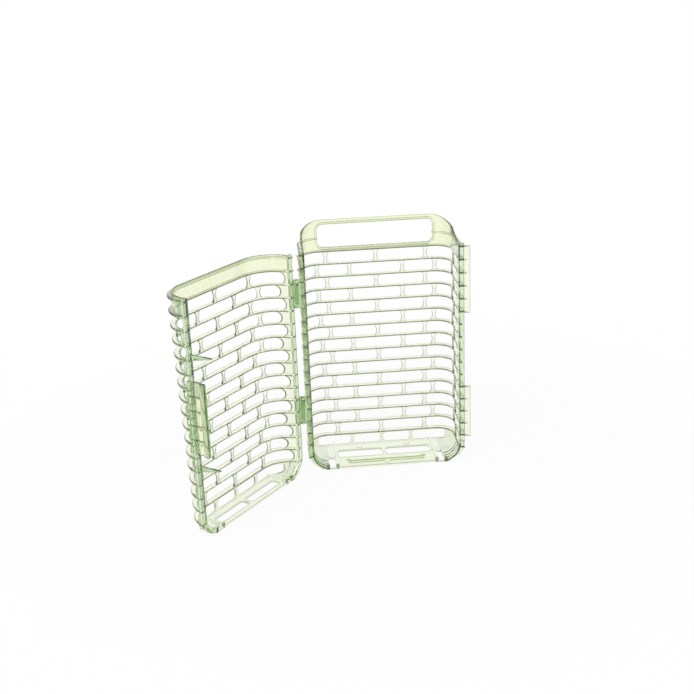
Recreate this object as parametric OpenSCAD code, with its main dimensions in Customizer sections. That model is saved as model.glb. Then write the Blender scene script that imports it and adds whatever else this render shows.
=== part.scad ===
// Inner basket of a herb keeper: two ribbed trays joined by snap hinges along one long side.
// The deep tray carries the handle, the shallow tray is the door with the latch.
// The model stands on its two floors, opened as far as a person opens it to lay herbs in.
// Origin: on the surface it stands on, under the middle of the solid floor strip at the front of the
// deep tray. X runs along the width, Y from the open face to the back of the deep tray, Z up.

/* [Basket] */
// Width over the ribs
basket_w = 127; // [120:1:136]
// Depth inside the deep tray at half height
deep_depth = 46; // [42:1:52]
// Depth inside the door at half height
door_depth = 22; // [20:1:26]
// Lean of the big walls, so that the trays leave the mould
draft = 2.3; // [1:0.1:3]
// Rounding of the deep tray's upright corners, over the ribs
corner_r = 18; // [16:0.5:19]
// Rounding of the door's upright corners, over the ribs
door_corner_r = 27.5; // [24:0.5:28]
// Rounding of the bottom corners, over the ribs
foot_corner_r = 17; // [15:0.5:19]
// Thickness of walls and floor
wall_t = 1.4; // [1.2:0.1:1.8]
// How far the ribs stand out of the walls
rib_out = 3; // [2.4:0.1:3.4]

/* [Ribs] */
// Distance from one rib to the next
rib_pitch = 10.5; // [10:0.1:11]
// Number of ribs below the band
rib_count = 15; // [14:1:16]
// Height of a rib
rib_t = 1.4; // [1.2:0.1:1.8]
// Underside of the lowest rib above the floor
first_rib_z = 11; // [10:0.5:13]
// Width of a bar between two ribs at its waist
bar_waist = 2.8; // [2.4:0.1:3.6]
// Width of a bar where it meets the ribs
bar_root = 6; // [5:0.1:7]
// Outer bars of a three-bar row, from the middle at half height
wide_bar_x = 38.6; // [36:0.1:40]
// Inner bars of a four-bar row, from the middle at half height
inner_bar_x = 20.7; // [18:0.1:23]
// Outer bars of a four-bar row, from the middle at half height
outer_bar_x = 46; // [43:0.1:47]
// How much the bars draw together over the height, per millimetre
bar_taper = 0.00068; // [0.0004:0.00001:0.0008]
// Side bars of the deep tray behind its open face, in a three-bar row
near_bar_y = 27; // [22:0.5:28]
// Side bars of the deep tray behind its open face, in a four-bar row
far_bar_y = 34; // [30:0.5:36]

/* [Rim] */
// Depth of the rim round the open face
rim_t = 2.4; // [2:0.1:3]
// Height of the wall above the top ledge
lip_h = 3.4; // [2.4:0.1:4]
// Solid wall behind the rim in a three-bar row
short_web = 2.6; // [2:0.1:4]
// Solid wall behind the rim in a four-bar row
long_web = 6.6; // [5:0.1:8]
// Gap between the two rims when the basket is shut
rim_gap = 0.6; // [0.4:0.1:1]

/* [Floor] */
// Bars under the lowest rib, from the middle
foot_bar_x = 25; // [22:0.5:28]
// Sill below the slots under the lowest rib
sill_h = 1.2; // [0.8:0.1:2]
// Width over the pair of floor slots
floor_slots_w = 77; // [60:1:78]
// Depth of the deep tray's floor slots
floor_slot_d = 14; // [12:0.5:15]
// Depth of the door's floor slots
door_slot_d = 8.5; // [7:0.5:9]
// Solid floor of the deep tray between its open face and the slots
deep_sill = 19; // [18:0.5:20]
// Solid floor of the door between its open face and the slots
door_sill = 5; // [4:0.5:6]
// Sides of the square pads on the deep tray's floor
pad_w = 4.4; // [3:0.2:5]
// Height of those pads
pad_h = 0.8; // [0.6:0.1:1]
// Length of the raised bar across the deep tray's floor
floor_bar_l = 62; // [50:1:70]
// Width of that bar
floor_bar_w = 4; // [2:0.1:5]
// Height of that bar above the floor
floor_bar_h = 2; // [1:0.1:3]
// Middle of that bar, behind the open face
floor_bar_y = 8.7; // [8:0.1:12]
// Radius of the round bosses at its two ends
boss_r = 1.8; // [1.4:0.1:2.4]
// Height of those bosses above the floor
boss_h = 2.4; // [1.6:0.1:3]
// Floor ribs from the middle: the inner pair
inner_foot_x = 40.5; // [38:0.5:43]
// Height of the floor ribs above the standing face
foot_rib_h = 4.4; // [3.6:0.1:5]
// Thickness of the floor ribs
foot_rib_t = 1.8; // [1.4:0.1:2.4]

/* [Handle] */
// Height of the handle above the top ledge
handle_h = 16.4; // [14:0.2:20]
// Rounding of the handle's shoulders, seen from the front
handle_r = 22; // [18:0.5:24]
// Half the handle's width where its shoulders would end
handle_w = 64.8; // [63:0.1:66]
// Hollow curve of the top edge from the shoulders to the rim, seen from the side
sweep_r = 88; // [80:1:100]
// Width of the grip opening
grip_w = 93; // [86:1:94]
// Height of the grip opening
grip_h = 19; // [18:0.5:20]
// Rounding of the grip opening
grip_r = 5; // [4:0.5:7]
// Underside of the grip opening, below the top ledge
grip_drop = 6.4; // [5:0.1:7]
// Width of the raised ring round the grip opening
ring_w = 1.8; // [1.4:0.1:2.2]
// Height of that ring
ring_out = 1; // [0.8:0.1:1.4]

/* [Hinges] */
// How far the door stands open from shut
open_angle = 127; // [0:1:180]
// Hinge axis, outside the rims
hinge_out = 3; // [2.8:0.1:3.4]
// Radius of the hinge pin
pin_r = 1.3; // [1.1:0.05:1.4]
// Clearance round the pin
pin_clear = 0.06; // [0.03:0.01:0.09]
// Outer radius of clips and pin cheeks
clip_r = 2.6; // [2.4:0.05:2.7]
// Length of a clip
clip_l = 17; // [14:0.5:20]
// Thickness of a cheek at each end of a pin
cheek_t = 2.2; // [1.8:0.1:3]
// Gap between a clip's end and a cheek
cheek_gap = 0.4; // [0.3:0.1:0.6]
// Level at the middle of the upper hinge, counted down from the band
upper_hinge = 1.7; // [1.5:0.05:3]
// Level at the middle of the lower hinge, counted down from the band
lower_hinge = 10.9; // [10:0.05:12]

/* [Latch and guides] */
// Reach of the latch from the door's rim
latch_reach = 13; // [11:0.5:14]
// Thickness of the latch plate
latch_t = 1.2; // [1:0.1:1.5]
// Gap between the latch plate and the deep tray's rim
latch_gap = 0.4; // [0.3:0.1:0.6]
// Width of the hook strip along the latch's edge
hook_w = 4.2; // [4:0.1:5.4]
// Thickness of that strip
hook_t = 2.8; // [2.6:0.2:4]
// Depth of the hook behind the rim
hook_d = 1.2; // [0.9:0.1:1.4]
// Height of the little ribs across the latch plate
latch_rib = 1.2; // [0.6:0.1:1.4]
// Number of those ribs
latch_ribs = 4; // [3:1:6]
// Length of the guide spikes
spike_l = 16; // [12:0.5:18]
// Height of a guide spike at its root
spike_h = 4.4; // [3.6:0.1:5]
// Height of a guide spike at its tip
spike_tip = 0.8; // [0.6:0.1:1.2]
// Thickness of a guide spike
spike_t = 1.4; // [1.2:0.1:1.6]
// Gap between a spike and the wall it slides along
spike_gap = 0.5; // [0.4:0.1:0.8]
// How far the finger tabs stand out beside the latch
tab_out = 4.6; // [4:0.1:6]
// Thickness of the finger tabs
tab_t = 1.4; // [1.2:0.1:1.8]

/* [Hidden] */
plastic = [0.74, 0.87, 0.62, 0.75];
arc_fn = 12;
slot_fn = 12;
pin_fn = 16;
lap = 0.3;
bar_proud = 0.1;
hook_room = 1;
hook_flat = 1;

half_w = basket_w / 2;
wall_w = half_w - rib_out - wall_t;
skin_w = half_w - rib_out;
foot_inner_r = foot_corner_r - rib_out - wall_t;
deep_r = corner_r - rib_out - wall_t;
door_r = door_corner_r - rib_out - wall_t;
row_h = rib_pitch - rib_t;
band_z = level_z(0);
ledge_z = level_z(-1);
top_z = ledge_z + lip_h;
mid_z = level_z(rib_count / 2);
origin_y = deep_sill / 2;
notch_gap = 0.5;
notch_front = 1.2;
pads = [[-19.5, 37], [20.5, 37], [0.5, 5]];
hinge_x = -half_w - hinge_out;
hinge_y = -origin_y - rim_gap / 2;
post_x = half_w - foot_corner_r + foot_rib_t;
hinge_half = clip_l / 2 + cheek_gap;

// Levels, counted down from the band, that the tabs and the latch run between.
upper_tab = [-1, 4];
lower_tab = [10, 14];
latch_levels = [4.2, 9.4];
spike_levels = [3, 11];
latch_z = [level_z(latch_levels[1]), level_z(latch_levels[0])];

// Underside of level k: -1 is the top ledge, 0 the foot of the band, then the ribs downwards.
function level_z(k) = first_rib_z + (rib_count - k) * rib_pitch;
// How much deeper a tray is at height z, to a hundredth of a millimetre.
function lean(z) = round(100 * (z - mid_z) * tan(draft)) / 100;
function bar_spread(z) = 1 + (z - mid_z) * bar_taper;
function bar_half(t) = bar_waist / 2 + (bar_root - bar_waist) / 2 * pow(abs(2 * t - 1), 2);

// A tray's outline seen from above: open towards -Y, round at the two far corners.
module plan(w, depth, r) {
    intersection() {
        union() {
            if (depth > r) translate([-w, 0]) square([2 * w, depth - r]);
            translate([r - w, 0]) square([2 * (w - r), depth]);
            for (side = [-1, 1]) translate([side * (w - r), depth - r]) circle(r, $fn = arc_fn);
        }
        translate([-w, 0]) square([2 * w, depth]);
    }
}

// A tray's outline seen from the front: round at the two bottom corners.
module front(w, bottom, top, r) {
    translate([-w, bottom + r]) square([2 * w, top - bottom - r]);
    translate([r - w, bottom]) square([2 * (w - r), top - bottom]);
    for (side = [-1, 1]) translate([side * (w - r), bottom + r]) circle(r, $fn = arc_fn);
}

// A rectangle with four round corners, from its middle.
module round_box(w, h, r, fn) {
    square([w, h - 2 * r], center = true);
    square([w - 2 * r, h], center = true);
    for (x = [-1, 1], y = [-1, 1]) translate([x * (w / 2 - r), y * (h / 2 - r)]) circle(r, $fn = fn);
}

// A front outline made solid between two depths.
module slab(y0, y1) {
    translate([0, y1, 0]) rotate([90, 0, 0]) linear_extrude(y1 - y0) children();
}

// A band that runs round the three closed sides: z0 to z1, from the inner wall outwards by out.
// The inner wall's upright corners are rounded by r.
module hoop(depth, r, z0, z1, out) {
    translate([0, 0, z0]) linear_extrude(z1 - z0) difference() {
        plan(wall_w + out, depth + out, r + out);
        translate([0, -lap]) plan(wall_w, depth + lap, r);
    }
}

module ribs(depth, r) {
    for (k = [-1 : rib_count]) {
        z = level_z(k);
        hoop(depth + lean(z), r, z, z + rib_t, wall_t + rib_out);
    }
}

// One waisted bar between two ribs, drawn from its lower end and from the middle of its thickness.
module bar(h) {
    steps = [0, 0.25, 0.75, 1];
    translate([0, 0, -wall_t / 2]) linear_extrude(wall_t) polygon(concat(
        [for (t = steps) [bar_half(t), t * h]],
        [for (i = [len(steps) - 1 : -1 : 0]) [-bar_half(steps[i]), steps[i] * h]]));
}

// The web behind the rim, hollowed by the round end of the slot beside it. Drawn as seen from the side,
// and cut right through the tray.
module web(length, h) {
    slot_r = h / 2;
    rotate([90, 0, 90]) linear_extrude(basket_w, center = true) polygon(concat(
        [[0, h], [0, 0]],
        [for (a = [-90 : 45 : 90]) [length + slot_r * (1 - cos(a)), slot_r * (1 + sin(a))]]));
}

// A bar of the big wall, turned with the wall where it stands in the round corner.
module wall_bar(x, d, r, h) {
    past = max(abs(x) - wall_w + r, 0);
    turn = asin(past / (r + wall_t / 2));
    side = x < 0 ? -1 : 1;
    translate([x - side * past, d - r, 0]) rotate([0, 0, -side * turn])
        translate([0, r + wall_t / 2 + bar_proud, 0]) rotate([90, 0, 0]) bar(h);
}

// Row k lies between level k - 1 and level k; odd rows hold three bars, even rows four.
module rows(depth, r, side_bars) {
    for (k = [1 : rib_count]) {
        z = level_z(k) + rib_t;
        odd = k % 2 == 1;
        xs = odd ? [-wide_bar_x, 0, wide_bar_x] : [-outer_bar_x, -inner_bar_x, inner_bar_x, outer_bar_x];
        translate([0, 0, z - lap]) {
            for (x = xs) wall_bar(x * bar_spread(z), depth + lean(z), r, row_h + 2 * lap);
            intersection() {
                hoop(depth + lean(z), r, 0, row_h + 2 * lap, wall_t);
                translate([0, rim_t - lap, 0]) web((odd ? short_web : long_web) + lap, row_h + 2 * lap);
            }
            if (side_bars) for (side = [-1, 1])
                translate([side * (wall_w + wall_t / 2 + bar_proud), 0, 0])
                    translate([0, (odd ? near_bar_y : far_bar_y) + lean(z), 0])
                        rotate([90, 0, 90]) bar(row_h + 2 * lap);
        }
    }
}

module rim_frame() {
    difference() {
        slab(0, rim_t) difference() {
            front(half_w, 0, top_z, foot_corner_r);
            front(wall_w, rib_out + wall_t, top_z + lap, foot_inner_r);
        }
        translate([-post_x, -lap, wall_t]) cube([2 * post_x, rim_t + 2 * lap, rib_out + lap]);
        notches(rim_t);
    }
}

// Notches behind the front edge of the floor, between the two floor ribs on either side.
module notches(depth) {
    x0 = inner_foot_x + foot_rib_t / 2 + notch_gap;
    x1 = post_x - foot_rib_t / 2 - notch_gap;
    for (side = [-1, 1]) translate([side * (x0 + x1) / 2 - (x1 - x0) / 2, notch_front, -lap])
        cube([x1 - x0, depth - notch_front + lap, wall_t + 2 * lap]);
}

// The closed part under the lowest rib: floor, rounded bottom corners and the walls above them.
module tub(depth, r, sill, slot_d) {
    d = depth + lean(first_rib_z / 2);
    slot_z = wall_t + sill_h;
    slot_h = first_rib_z - slot_z;
    corner_w = foot_corner_r - rib_out;
    difference() {
        intersection() {
            linear_extrude(first_rib_z + lap) plan(skin_w, d + wall_t, r + wall_t);
            slab(-lap, d + wall_t + lap) front(skin_w, 0, top_z, corner_w);
        }
        intersection() {
            translate([0, -lap, 0]) linear_extrude(first_rib_z + 2 * lap) plan(wall_w, d + lap, r);
            slab(-2 * lap, d + lap) front(wall_w, wall_t, top_z, corner_w - wall_t);
        }
        for (side = [-1, 1]) {
            inner_w = foot_bar_x - bar_waist;
            outer_w = skin_w - corner_w / 2 - foot_bar_x - bar_waist / 2;
            for (slot = [[foot_bar_x / 2, inner_w], [foot_bar_x + bar_waist / 2 + outer_w / 2, outer_w]])
                translate([side * slot[0], 0, slot_z + slot_h / 2]) slab(d - r / 3, d + wall_t + lap)
                    round_box(slot[1], slot_h, slot_h / 3, slot_fn);
        }
        floor_slots(sill, slot_d);
        notches(sill);
    }
    for (side = [-1, 1], x = [inner_foot_x, post_x])
        translate([side * x - foot_rib_t / 2, 0, wall_t - lap])
            cube([foot_rib_t, x == post_x ? rim_t : d + lap, foot_rib_h - wall_t + lap]);
}

// Two slots side by side in the floor, with a bar of floor between them.
module floor_slots(sill, slot_d) {
    w = (floor_slots_w - bar_waist) / 2;
    for (side = [-1, 1])
        translate([side * (w + bar_waist) / 2, sill + slot_d / 2, -lap]) linear_extrude(wall_t + 2 * lap)
            round_box(w, slot_d, slot_d / 4, slot_fn);
}

module tray(depth, r, side_bars, sill, slot_d) {
    ribs(depth, r);
    rows(depth, r, side_bars);
    rim_frame();
    tub(depth, r, sill, slot_d);
    hoop(depth + lean(ledge_z), r, band_z + lap, top_z, wall_t);
}

// The deep tray's back wall carried on upwards. Its top edge runs down round the corners to the rim.
module handle() {
    d = deep_depth + lean(ledge_z);
    z1 = ledge_z + handle_h;
    grip_z = ledge_z - grip_drop + grip_h / 2;
    intersection() {
        hoop(d, deep_r, top_z - lap, z1, wall_t);
        slab(-lap, d + 2 * wall_t) translate([0, z1 - 2 * handle_r])
            round_box(2 * handle_w, 4 * handle_r, handle_r, 2 * arc_fn);
        translate([-skin_w - lap, 0, 0]) rotate([90, 0, 90]) linear_extrude(2 * skin_w + 2 * lap) {
            difference() {
                translate([0, ledge_z]) square([d + wall_t, handle_h + lap]);
                translate([rim_t, top_z + sweep_r]) circle(sweep_r, $fn = 5 * arc_fn);
            }
            translate([d - wall_t, ledge_z]) square([3 * wall_t, handle_h + lap]);
        }
    }
    translate([0, 0, grip_z]) slab(d - ring_out, d + wall_t + ring_out) round_box(
        grip_w + 2 * ring_w, grip_h + 2 * ring_w, grip_r + ring_w, arc_fn);
}

module grip() {
    d = deep_depth + lean(ledge_z);
    translate([0, 0, ledge_z - grip_drop + grip_h / 2])
        slab(d - 2 * ring_out, d + wall_t + rib_out + lap) round_box(grip_w, grip_h, grip_r, arc_fn);
}

// Plates in the rim plane beside the latch, stiffened by a stub at each level.
module finger_tabs() {
    for (t = [upper_tab, lower_tab]) {
        z0 = level_z(t[1]);
        z1 = level_z(t[0]) + rib_t;
        translate([half_w - lap, 0, z0]) cube([tab_out + lap, tab_t, z1 - z0]);
        for (k = [t[0] : t[1]])
            translate([half_w - lap, tab_t - lap, level_z(k)])
                cube([tab_out / 2 + lap, rim_t - tab_t + lap, rib_t]);
    }
}

// Short ends of the two top ledges, past the rim on the hinge side.
module ledge_ends() {
    for (k = [-1, 0]) translate([-half_w - hinge_out / 2, 0, level_z(k)])
        cube([hinge_out / 2 + lap, rim_t, rib_t]);
}

// Room for the latch's hook behind the rim, on the free side.
module hook_notch() {
    translate([half_w - hook_d - lap, rim_t + lap, latch_z[0] - hook_room])
        cube([hook_d + 2 * lap, latch_reach, latch_z[1] - latch_z[0] + 2 * hook_room]);
}

// A clip at each hinge level: a split ring on the pin, held by a web on the deep tray's rim.
module clips() {
    for (level = [upper_hinge, lower_hinge]) translate([hinge_x, -rim_gap / 2, level_z(level)])
        difference() {
            union() {
                translate([0, 0, -clip_l / 2]) cylinder(clip_l, clip_r, clip_r, $fn = pin_fn);
                translate([0, 0, -clip_l / 2]) cube([hinge_out + lap, clip_r, clip_l]);
            }
            translate([0, 0, -clip_l / 2 - lap])
                cylinder(clip_l + 2 * lap, pin_r + pin_clear, pin_r + pin_clear, $fn = pin_fn);
            translate([-clip_r - lap, -clip_r - lap, -clip_l / 2 - lap])
                cube([clip_r + lap, clip_r + lap, clip_l + 2 * lap]);
        }
}

// The pins with a cheek at each end, on the door's rim. Drawn in the door's own frame, shut.
module pins() {
    for (level = [upper_hinge, lower_hinge]) translate([hinge_x, -rim_gap / 2, level_z(level)]) {
        translate([0, 0, -hinge_half - lap]) cylinder(2 * (hinge_half + lap), pin_r, pin_r, $fn = pin_fn);
        for (z = [-hinge_half - cheek_t, hinge_half]) translate([0, 0, z]) {
            cylinder(cheek_t, clip_r, clip_r, $fn = pin_fn);
            cube([hinge_out + lap, clip_r, cheek_t]);
        }
    }
}

// Plate and hook that snap over the deep tray's rim, drawn in the door's own frame, shut.
module latch() {
    h = latch_z[1] - latch_z[0];
    plate_x = half_w + latch_gap;
    end_y = -rim_gap - latch_reach;
    catch_y = -rim_gap - rim_t - 2 * lap;
    translate([half_w - lap, 0, latch_z[0]]) cube([latch_gap + latch_t + lap, rim_t, h]);
    translate([plate_x, end_y, latch_z[0]]) cube([latch_t, rim_t - end_y, h]);
    translate([plate_x, end_y, latch_z[0]]) cube([hook_t, hook_w, h]);
    translate([0, 0, latch_z[0]]) linear_extrude(h) polygon([
        [plate_x + lap, catch_y], [plate_x - latch_gap - hook_d + lap, catch_y],
        [plate_x - latch_gap - hook_d + lap, catch_y - hook_flat], [plate_x + lap, end_y]]);
    for (i = [1 : latch_ribs])
        translate([plate_x + latch_t - lap, end_y, latch_z[0] + i * h / (latch_ribs + 1) - latch_rib / 2])
            cube([latch_rib + lap, rim_t - end_y, latch_rib]);
}

// Tapered spikes that slide along the deep tray's free wall as the door shuts.
module spikes() {
    outer_x = wall_w - spike_gap;
    for (k = spike_levels) translate([outer_x - spike_t, 0, level_z(k)]) {
        cube([spike_t + spike_gap + wall_t, rim_t, spike_h]);
        rotate([90, 0, 90]) linear_extrude(spike_t) polygon([
            [rim_t, 0], [rim_t, spike_h], [-spike_l, spike_h], [-spike_l, spike_h - spike_tip], [0, 0]]);
    }
}

module back_half() {
    color(plastic) translate([0, -origin_y, 0]) {
        difference() {
            union() {
                tray(deep_depth, deep_r, true, deep_sill, floor_slot_d);
                handle();
                finger_tabs();
                ledge_ends();
            }
            grip();
            hook_notch();
        }
        clips();
        translate([0, floor_bar_y, wall_t - lap]) {
            translate([-floor_bar_l / 2, -floor_bar_w / 2, 0])
                cube([floor_bar_l, floor_bar_w, floor_bar_h + lap]);
            for (side = [-1, 1]) translate([side * floor_bar_l / 2, floor_bar_w / 2, 0])
                cylinder(boss_h + lap, boss_r, boss_r, $fn = arc_fn);
        }
        for (pad = pads) translate([pad[0] - pad_w / 2, pad[1] - pad_w / 2, wall_t - lap])
            cube([pad_w, pad_w, pad_h + lap]);
    }
}

module front_half() {
    color(plastic)
    translate([hinge_x, hinge_y, 0]) rotate([0, 0, -open_angle])
    translate([-hinge_x, -rim_gap / 2, 0]) mirror([0, 1, 0]) {
        tray(door_depth, door_r, false, door_sill, door_slot_d);
        ledge_ends();
        pins();
        latch();
        spikes();
    }
}

back_half();
front_half();
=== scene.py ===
"""Looks of the herb keeper's inner basket: clear pale green plastic on a pale studio floor.

Lengths are in millimetres, as in the part's source. A tray is drawn with its open face at y = 0 and
its back wall towards +y, and is put in its place in the frame when its mesh is made.
"""

from math import asin, cos, pi, radians, sin, sqrt, tan

import bmesh
import bpy
from mathutils import Euler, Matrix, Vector


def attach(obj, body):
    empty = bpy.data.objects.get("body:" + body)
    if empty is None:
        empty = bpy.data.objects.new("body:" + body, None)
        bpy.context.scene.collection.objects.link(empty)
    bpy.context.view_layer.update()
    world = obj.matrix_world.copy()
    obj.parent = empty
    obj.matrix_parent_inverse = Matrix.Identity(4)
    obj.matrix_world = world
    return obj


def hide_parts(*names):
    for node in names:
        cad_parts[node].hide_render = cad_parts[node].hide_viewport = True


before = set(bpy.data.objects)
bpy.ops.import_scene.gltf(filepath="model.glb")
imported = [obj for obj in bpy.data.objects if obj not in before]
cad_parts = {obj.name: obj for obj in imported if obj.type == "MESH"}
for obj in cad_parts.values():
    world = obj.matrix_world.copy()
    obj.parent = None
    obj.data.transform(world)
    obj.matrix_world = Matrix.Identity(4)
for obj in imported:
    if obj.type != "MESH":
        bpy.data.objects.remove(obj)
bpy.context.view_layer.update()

MM = 0.001

# ---- sizes ----

# Trays: overall sizes, walls and ribs.
BASKET_W = 127.0
DEEP_DEPTH, DOOR_DEPTH = 46.0, 22.0
DRAFT_DEG = 2.3
CORNER_R, DOOR_CORNER_R, FOOT_CORNER_R = 18.0, 27.5, 17.0
WALL_T = 1.4
RIB_OUT = 3.0
RIB_PITCH, RIB_COUNT, RIB_T, FIRST_RIB_Z = 10.5, 15, 1.4, 11.0
HALF_W = BASKET_W / 2
WALL_W = HALF_W - RIB_OUT - WALL_T
SKIN_W = HALF_W - RIB_OUT
STRIP_W = WALL_T + RIB_OUT
DEEP_R, DOOR_R = CORNER_R - STRIP_W, DOOR_CORNER_R - STRIP_W
FOOT_SKIN_R, FOOT_INNER_R = FOOT_CORNER_R - RIB_OUT, FOOT_CORNER_R - STRIP_W

# How far the top ledge stays back from the ribs' outer face.
LEDGE_BACK = 0.23

# Bars between the ribs.
BAR_WAIST, BAR_ROOT = 2.8, 6.0
WIDE_BAR_X, INNER_BAR_X, OUTER_BAR_X = 38.6, 20.7, 46.0
BAR_TAPER = 0.00068
BAR_PROUD = 0.1
NEAR_BAR_Y, FAR_BAR_Y = 27.0, 34.0
ROW_H = RIB_PITCH - RIB_T

# Rim round the open face, and the webs of wall behind it.
RIM_T, LIP_H = 2.4, 3.4
RIM_TURN_DEG = -83
RIM_GAP = 0.6
SHORT_WEB, LONG_WEB = 2.6, 6.6

# Floor: the slots at the foot of the wall, its own windows, pads, raised bar, foot ribs, notches.
FOOT_BAR_X, SILL_H = 25.0, 1.2
FLOOR_SLOT_D, DOOR_SLOT_D = 14.0, 8.5
DEEP_SILL, DOOR_SILL = 19.0, 5.0
WINDOWS_W = 77.0
WINDOW_W = (WINDOWS_W - BAR_WAIST) / 2
WINDOW_X = (WINDOW_W + BAR_WAIST) / 2
PAD_W, PAD_H = 4.4, 0.8
PADS = ((-19.5, 37), (20.5, 37), (0.5, 5))
FLOOR_BAR_L, FLOOR_BAR_W, FLOOR_BAR_H, FLOOR_BAR_Y = 62.0, 4.0, 2.0, 8.7
FLOOR_BAR_LINE, FLOOR_BAR_FOOT = 1.3, 0.8
BOSS_R, BOSS_H = 1.8, 2.4
INNER_FOOT_X, FOOT_RIB_H, FOOT_RIB_T = 40.5, 4.4, 1.8
POST_X = HALF_W - FOOT_CORNER_R + FOOT_RIB_T
FOOT_END_W = 2.6
NOTCH_GAP, NOTCH_FRONT = 0.5, 1.2

# Low raised lines of the floor and of the bottom corners: their size, how far behind the open face
# the corners' lines run, and from where to where they turn.
LINE_W, LINE_H = 0.8, 0.5
CORNER_LINE_YS = (4.0, 8.6, 13.2)
CORNER_LINE_TURN = (-16, -85)

# Handle and grip.
HANDLE_H, HANDLE_R, HANDLE_W, SWEEP_R = 16.4, 22.0, 64.8, 88.0
GRIP_W, GRIP_H, GRIP_R, GRIP_DROP = 93.0, 19.0, 5.0, 6.4
RING_W, RING_OUT = 1.8, 1.0

# Hinges.
OPEN_ANGLE_DEG = 127.0
HINGE_OUT, PIN_R, PIN_CLEAR, CLIP_R, CLIP_L = 3.0, 1.3, 0.06, 2.6, 17.0
CHEEK_T, CHEEK_GAP = 2.2, 0.4
HINGE_LEVELS = (1.7, 10.9)
HINGE_X = -HALF_W - HINGE_OUT

# Latch, spikes and finger tabs. A tab goes from one level to another.
LATCH_REACH, LATCH_T, LATCH_GAP = 13.0, 1.2, 0.4
HOOK_W, HOOK_T, HOOK_D, HOOK_FLAT, HOOK_ROOM = 4.2, 2.8, 1.2, 1.0, 1.0
LATCH_RIB, LATCH_RIBS, LATCH_FOOT = 1.2, 4, 2.2
LATCH_LEVELS = (4.2, 9.4)
SPIKE_L, SPIKE_H, SPIKE_TIP, SPIKE_T, SPIKE_GAP = 16.0, 4.4, 0.8, 1.4, 0.5
SPIKE_LEVELS = (3, 11)
TAB_OUT, TAB_T = 4.6, 1.4
TABS = ((-1, 4), (10, 14))

# How far one form reaches into the next, so that they join, how far a hidden face stays back, and
# how far a small form stays inside the rim that it joins.
LAP = 0.3
SHY = 0.03
INSET = 0.02

# ---- rounding, and the steps that curves are made in ----

RIB_ROUND = (0.4, 0.3, 1.0, 0.4)
BAR_ROUND = 0.62
LARGE_ROUND, SMALL_ROUND, SLIGHT_ROUND, CLIP_ROUND = 0.4, 0.25, 0.2, 0.15
ROUND_STEPS, BEVEL_STEPS = 3, 2
CORNER_STEPS, OUTLINE_STEPS, WINDOW_STEPS = 14, 12, 8
RIM_STEPS, LINE_STEPS = 12, 12
WEB_STEPS, WEB_SIDE_STEPS, NOSE_STEPS = 12, 4, 4
ARC_STEPS, PIN_STEPS, CHEEK_STEPS = 10, 24, 20

# Places that the path along a side wall has behind the rim, and the most between two places under
# an upper edge that curves.
PATH_STOPS = (2, 7)
PATH_STEP = 2.5

# Edges that are sharper than this are rounded, or shaded as sharp.
BEVEL_ANGLE = 0.6
SHADE_ANGLE_DEG = 38

# ---- what a face is: its share of the painted edge shade, and its tone ----

# A share of 1 gives a face all the painted edge shade; FLAT gives none.
# A share from 1 to 2 takes a face from the painted edge shade to the darker painted shade of an
# underside.
FLAT, EDGE, DARK = 0.0, 1.0, 1.8

# A tone goes from the cream of the top band (-1) to the painted green of a rim (1).
# The green is painted: it stands in for the colour of light through thick plastic seen edge on.
CREAM, CLEAR, GREEN = -1.0, 0.0, 1.0
BODY = -0.5
PALE_GREEN, GREENISH, SOFT_GREEN = 0.12, 0.45, 0.7

# Rims on the hinge side and the free side: their tone of painted green, and the height from which
# it comes up.
DEEP_GREENS = ((0.88, 0.0), (0.6, 8.0))
DOOR_GREENS = ((0.45, 8.0), (0.45, 8.0))
GREEN_RISE = 14.0

# The top band beside the free rim: how far behind the open face its painted green ends and fades.
BAND_GREEN_Y, BAND_GREEN_FADE = 16.0, 4.0

# Shares of painted edge shade round a profile: a rib's are outer top, inner top, inner foot and
# outer foot, and the others go round in the same way.
RIB_EDGES, LEDGE_EDGES = (0.85, 0.08, 1.0, 0.4), (0.9, 0.4, 1.0, 0.7)
BAR_EDGES, DOOR_BAR_EDGES = (0.6, 0.72, 0.72, 0.6), (0.25, 1.1, 1.1, 0.1)
RIM_EDGES, FREE_RIM_EDGES = (0.35, 0.35, 0.6, 0.6), (0.6, 0.05, 0.05, 0.5)
RING_EDGES, LINE_EDGES = (0.6, 0.6, 0.6, 0.6), (0.4, 0.4, 0.4, 0.4)
BAND_EDGES = (0.9, 0.5, 0, 0)
NOSE_EDGE = 1.7

# Shares of painted shade on the flat sides: top, inner, foot, outer.
LEDGE_SIDES, LINE_SIDES = (0.3, 0.0, 0.7, 0.3), (0.1, 0.3, 0.3, 0.3)
FLOOR_BAR_SHARES = (FLAT, FLAT, FLAT, DARK, FLAT, 0.9)
# The painted shade on the walls of the slots, windows and notches.
SLOT_SHARE = 0.7

# What a form's shares of painted edge shade are multiplied by: a bar's from end to end, a rim's
# round the bottom corner, and a rib's behind the rim, along the hinge side and round the deep
# tray's corners.
BAR_FADES = (0.5, 0.8, 1, 1.1, 1.1, 1, 0.8, 0.5)
RIM_FOOT_FADE = 0.3
RIB_RIM_FADE, RIB_HINGE_FADE, RIB_CORNER_FADE = 0.15, 0.45, 2.0

# A stretch of rib belongs to a corner from this much turn on, and to the hinge side up to this
# far into its corner.
CORNER_TURN, CORNER_REACH = 0.1, 1

# How far an edge faces down before it takes the underside's painted shade, over what span the
# shade comes, and how much of it bars and rims take.
UNDER_START, UNDER_SPAN, UNDER_BAR = 0.25, 0.6, 0.1
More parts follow.
